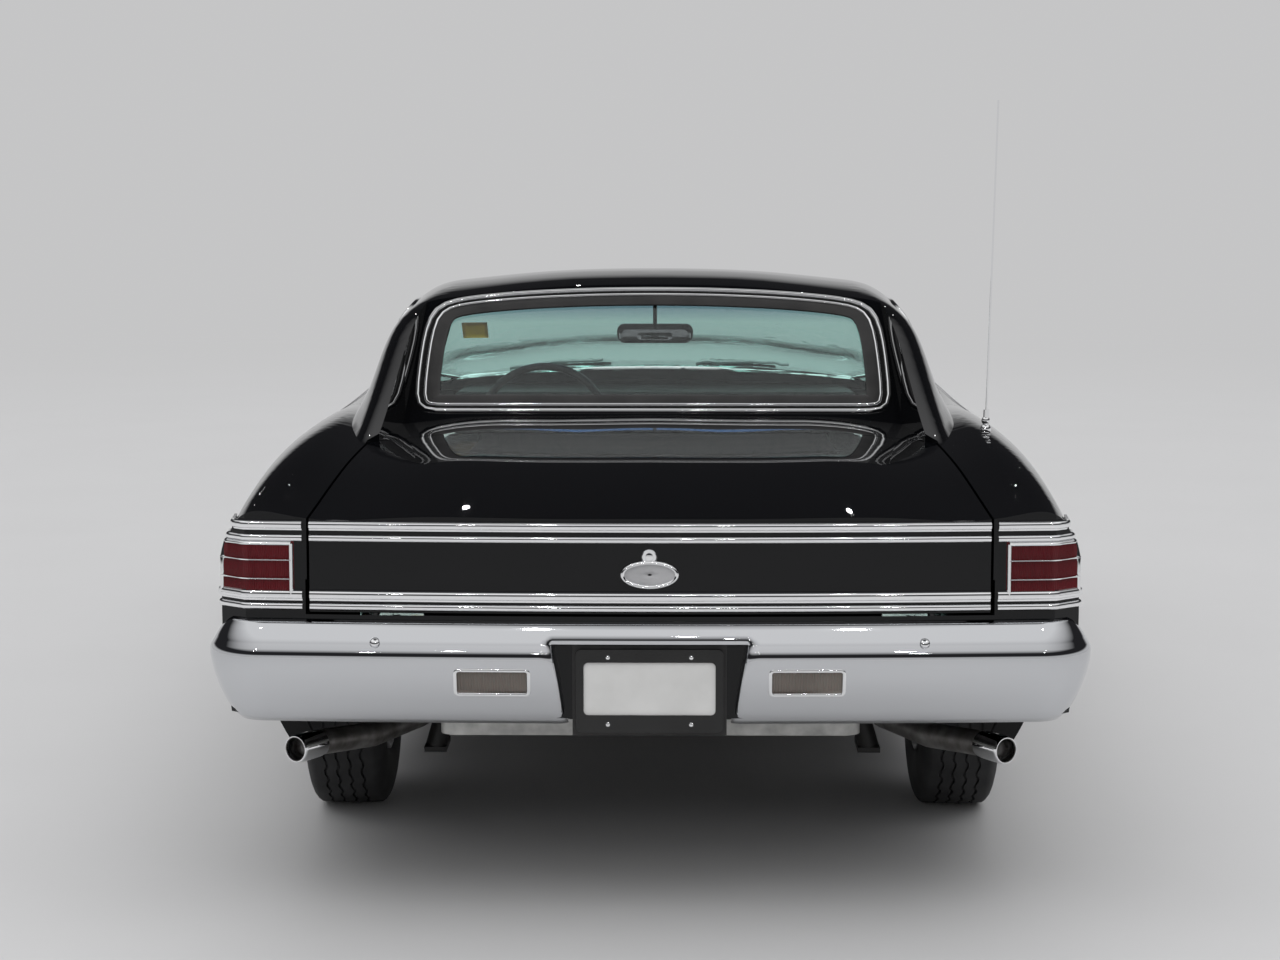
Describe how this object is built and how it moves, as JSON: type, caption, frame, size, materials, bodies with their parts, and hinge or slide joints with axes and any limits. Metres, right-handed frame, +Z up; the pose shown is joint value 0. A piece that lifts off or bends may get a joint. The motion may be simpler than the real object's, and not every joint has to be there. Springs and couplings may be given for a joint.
{
  "type": "two-door hardtop muscle car",
  "caption": "Late-1960s two-door hardtop muscle car with opening doors, hood and trunk lid, turning wheels and working steering",
  "frame": {"origin": "bottom centre of the whole car's box, on the ground midway between the tyres' outer sides", "axes": "+X right, +Y forward to the nose, +Z up"},
  "size_m": [1.928, 5.002, 1.7761],
  "materials": {
    "black_paint": "gloss black paint",
    "chrome": "polished chrome",
    "frame_black": "satin black chassis paint",
    "floor_grey": "dark primer",
    "engine_paint": "painted cast iron",
    "bare_steel": "bare steel",
    "tank_steel": "plated steel",
    "glass": "green tinted glass",
    "red_lens": "red lens",
    "clear_lens": "clear lens",
    "lamp_glass": "sealed lamp glass",
    "dark_trim": "black trim",
    "vinyl": "black vinyl",
    "tyre": "tread rubber",
    "wheel_silver": "silver paint",
    "plate_white": "blank plate"
  },
  "bodies": {
    "body": {"frame": "frame_black", "floor_pan": "floor_grey", "inner_fenders": "frame_black", "radiator_support": "frame_black", "rocker_panels": "black_paint", "engine_block": "engine_paint", "driveline": "bare_steel", "rear_axle": "frame_black", "rear_suspension": "frame_black", "front_suspension": "frame_black", "exhaust": "bare_steel", "fuel_tank": "tank_steel", "roof": "black_paint", "quarter_panel_left": "black_paint", "quarter_panel_right": "black_paint", "deck_panel": "black_paint", "rear_end_panel": "black_paint", "cowl_panel": "black_paint", "fender_left": "black_paint", "fender_right": "black_paint", "front_end_panel": "black_paint", "grille": "dark_trim", "headlamps": "lamp_glass", "tail_lamps": "red_lens", "rear_bumper": "chrome", "front_bumper": "chrome", "reversing_lamps": "clear_lens", "parking_lamps": "clear_lens", "licence_plate": "plate_white", "antenna": "chrome", "windshield": "glass", "rear_window": "glass", "quarter_glass": "glass", "dashboard": "dark_trim", "cabin_mirror": "dark_trim", "front_seat": "vinyl", "rear_seat": "vinyl"},
    "door_left_body": {"door_panel_left": "black_paint", "door_glass_left": "glass"},
    "door_right_body": {"door_panel_right": "black_paint", "door_glass_right": "glass"},
    "hood_body": {"hood": "black_paint"},
    "trunk_lid_body": {"trunk_lid": "black_paint"},
    "steering_wheel_body": {"steering_wheel": "dark_trim"},
    "steering_linkage_body": {"steering_linkage": "frame_black"},
    "knuckle_left_body": {"knuckle_left": "frame_black"},
    "knuckle_right_body": {"knuckle_right": "frame_black"},
    "wheel_front_left_body": {"wheel_front_left": "wheel_silver", "tyre_front_left": "tyre"},
    "wheel_front_right_body": {"wheel_front_right": "wheel_silver", "tyre_front_right": "tyre"},
    "wheel_rear_left_body": {"wheel_rear_left": "wheel_silver", "tyre_rear_left": "tyre"},
    "wheel_rear_right_body": {"wheel_rear_right": "wheel_silver", "tyre_rear_right": "tyre"}
  },
  "joints": [
    {"name": "door_left_hinge", "type": "hinge", "parent": "body", "child": "door_left_body", "pos_m": [-0.953, 0.632, 0.6], "axis": [0, 0, -1], "range_deg": [0, 65]},
    {"name": "door_right_hinge", "type": "hinge", "parent": "body", "child": "door_right_body", "pos_m": [0.953, 0.632, 0.6], "axis": [0, 0, 1], "range_deg": [0, 65]},
    {"name": "hood_hinge", "type": "hinge", "parent": "body", "child": "hood_body", "pos_m": [0, 0.778, 0.962], "axis": [1, 0, 0], "range_deg": [0, 45]},
    {"name": "trunk_lid_hinge", "type": "hinge", "parent": "body", "child": "trunk_lid_body", "pos_m": [0, -1.508, 0.974], "axis": [-1, 0, 0], "range_deg": [0, 60]},
    {"name": "steer_left", "type": "hinge", "parent": "body", "child": "knuckle_left_body", "pos_m": [-0.622, 1.641, 0.335], "axis": [0, 0, 1], "range_deg": [-28, 28]},
    {"name": "steer_right", "type": "hinge", "parent": "body", "child": "knuckle_right_body", "pos_m": [0.622, 1.641, 0.335], "axis": [0, 0, 1], "range_deg": [-28, 28]},
    {"name": "steering_linkage_slide", "type": "slide", "parent": "body", "child": "steering_linkage_body", "axis": [1, 0, 0], "range_m": [-0.047, 0.047]},
    {"name": "steering_wheel_turn", "type": "hinge", "parent": "body", "child": "steering_wheel_body", "pos_m": [-0.338, 0.168, 0.825], "axis": [0, -0.9063, 0.4226], "range_deg": [-448, 448]},
    {"name": "spin_front_left", "type": "hinge", "parent": "knuckle_left_body", "child": "wheel_front_left_body", "pos_m": [-0.745, 1.641, 0.335], "axis": [1, 0, 0], "continuous": true},
    {"name": "spin_front_right", "type": "hinge", "parent": "knuckle_right_body", "child": "wheel_front_right_body", "pos_m": [0.745, 1.641, 0.335], "axis": [1, 0, 0], "continuous": true},
    {"name": "spin_rear_left", "type": "hinge", "parent": "body", "child": "wheel_rear_left_body", "pos_m": [-0.76, -1.28, 0.335], "axis": [1, 0, 0], "continuous": true},
    {"name": "spin_rear_right", "type": "hinge", "parent": "body", "child": "wheel_rear_right_body", "pos_m": [0.76, -1.28, 0.335], "axis": [1, 0, 0], "continuous": true}
  ],
  "couplings": [
    {"joint": "steer_right", "follows": "steer_left", "ratio": 1},
    {"joint": "steering_linkage_slide", "follows": "steer_left", "m_per_rad": 0.096},
    {"joint": "steering_wheel_turn", "follows": "steer_left", "ratio": 16}
  ]
}
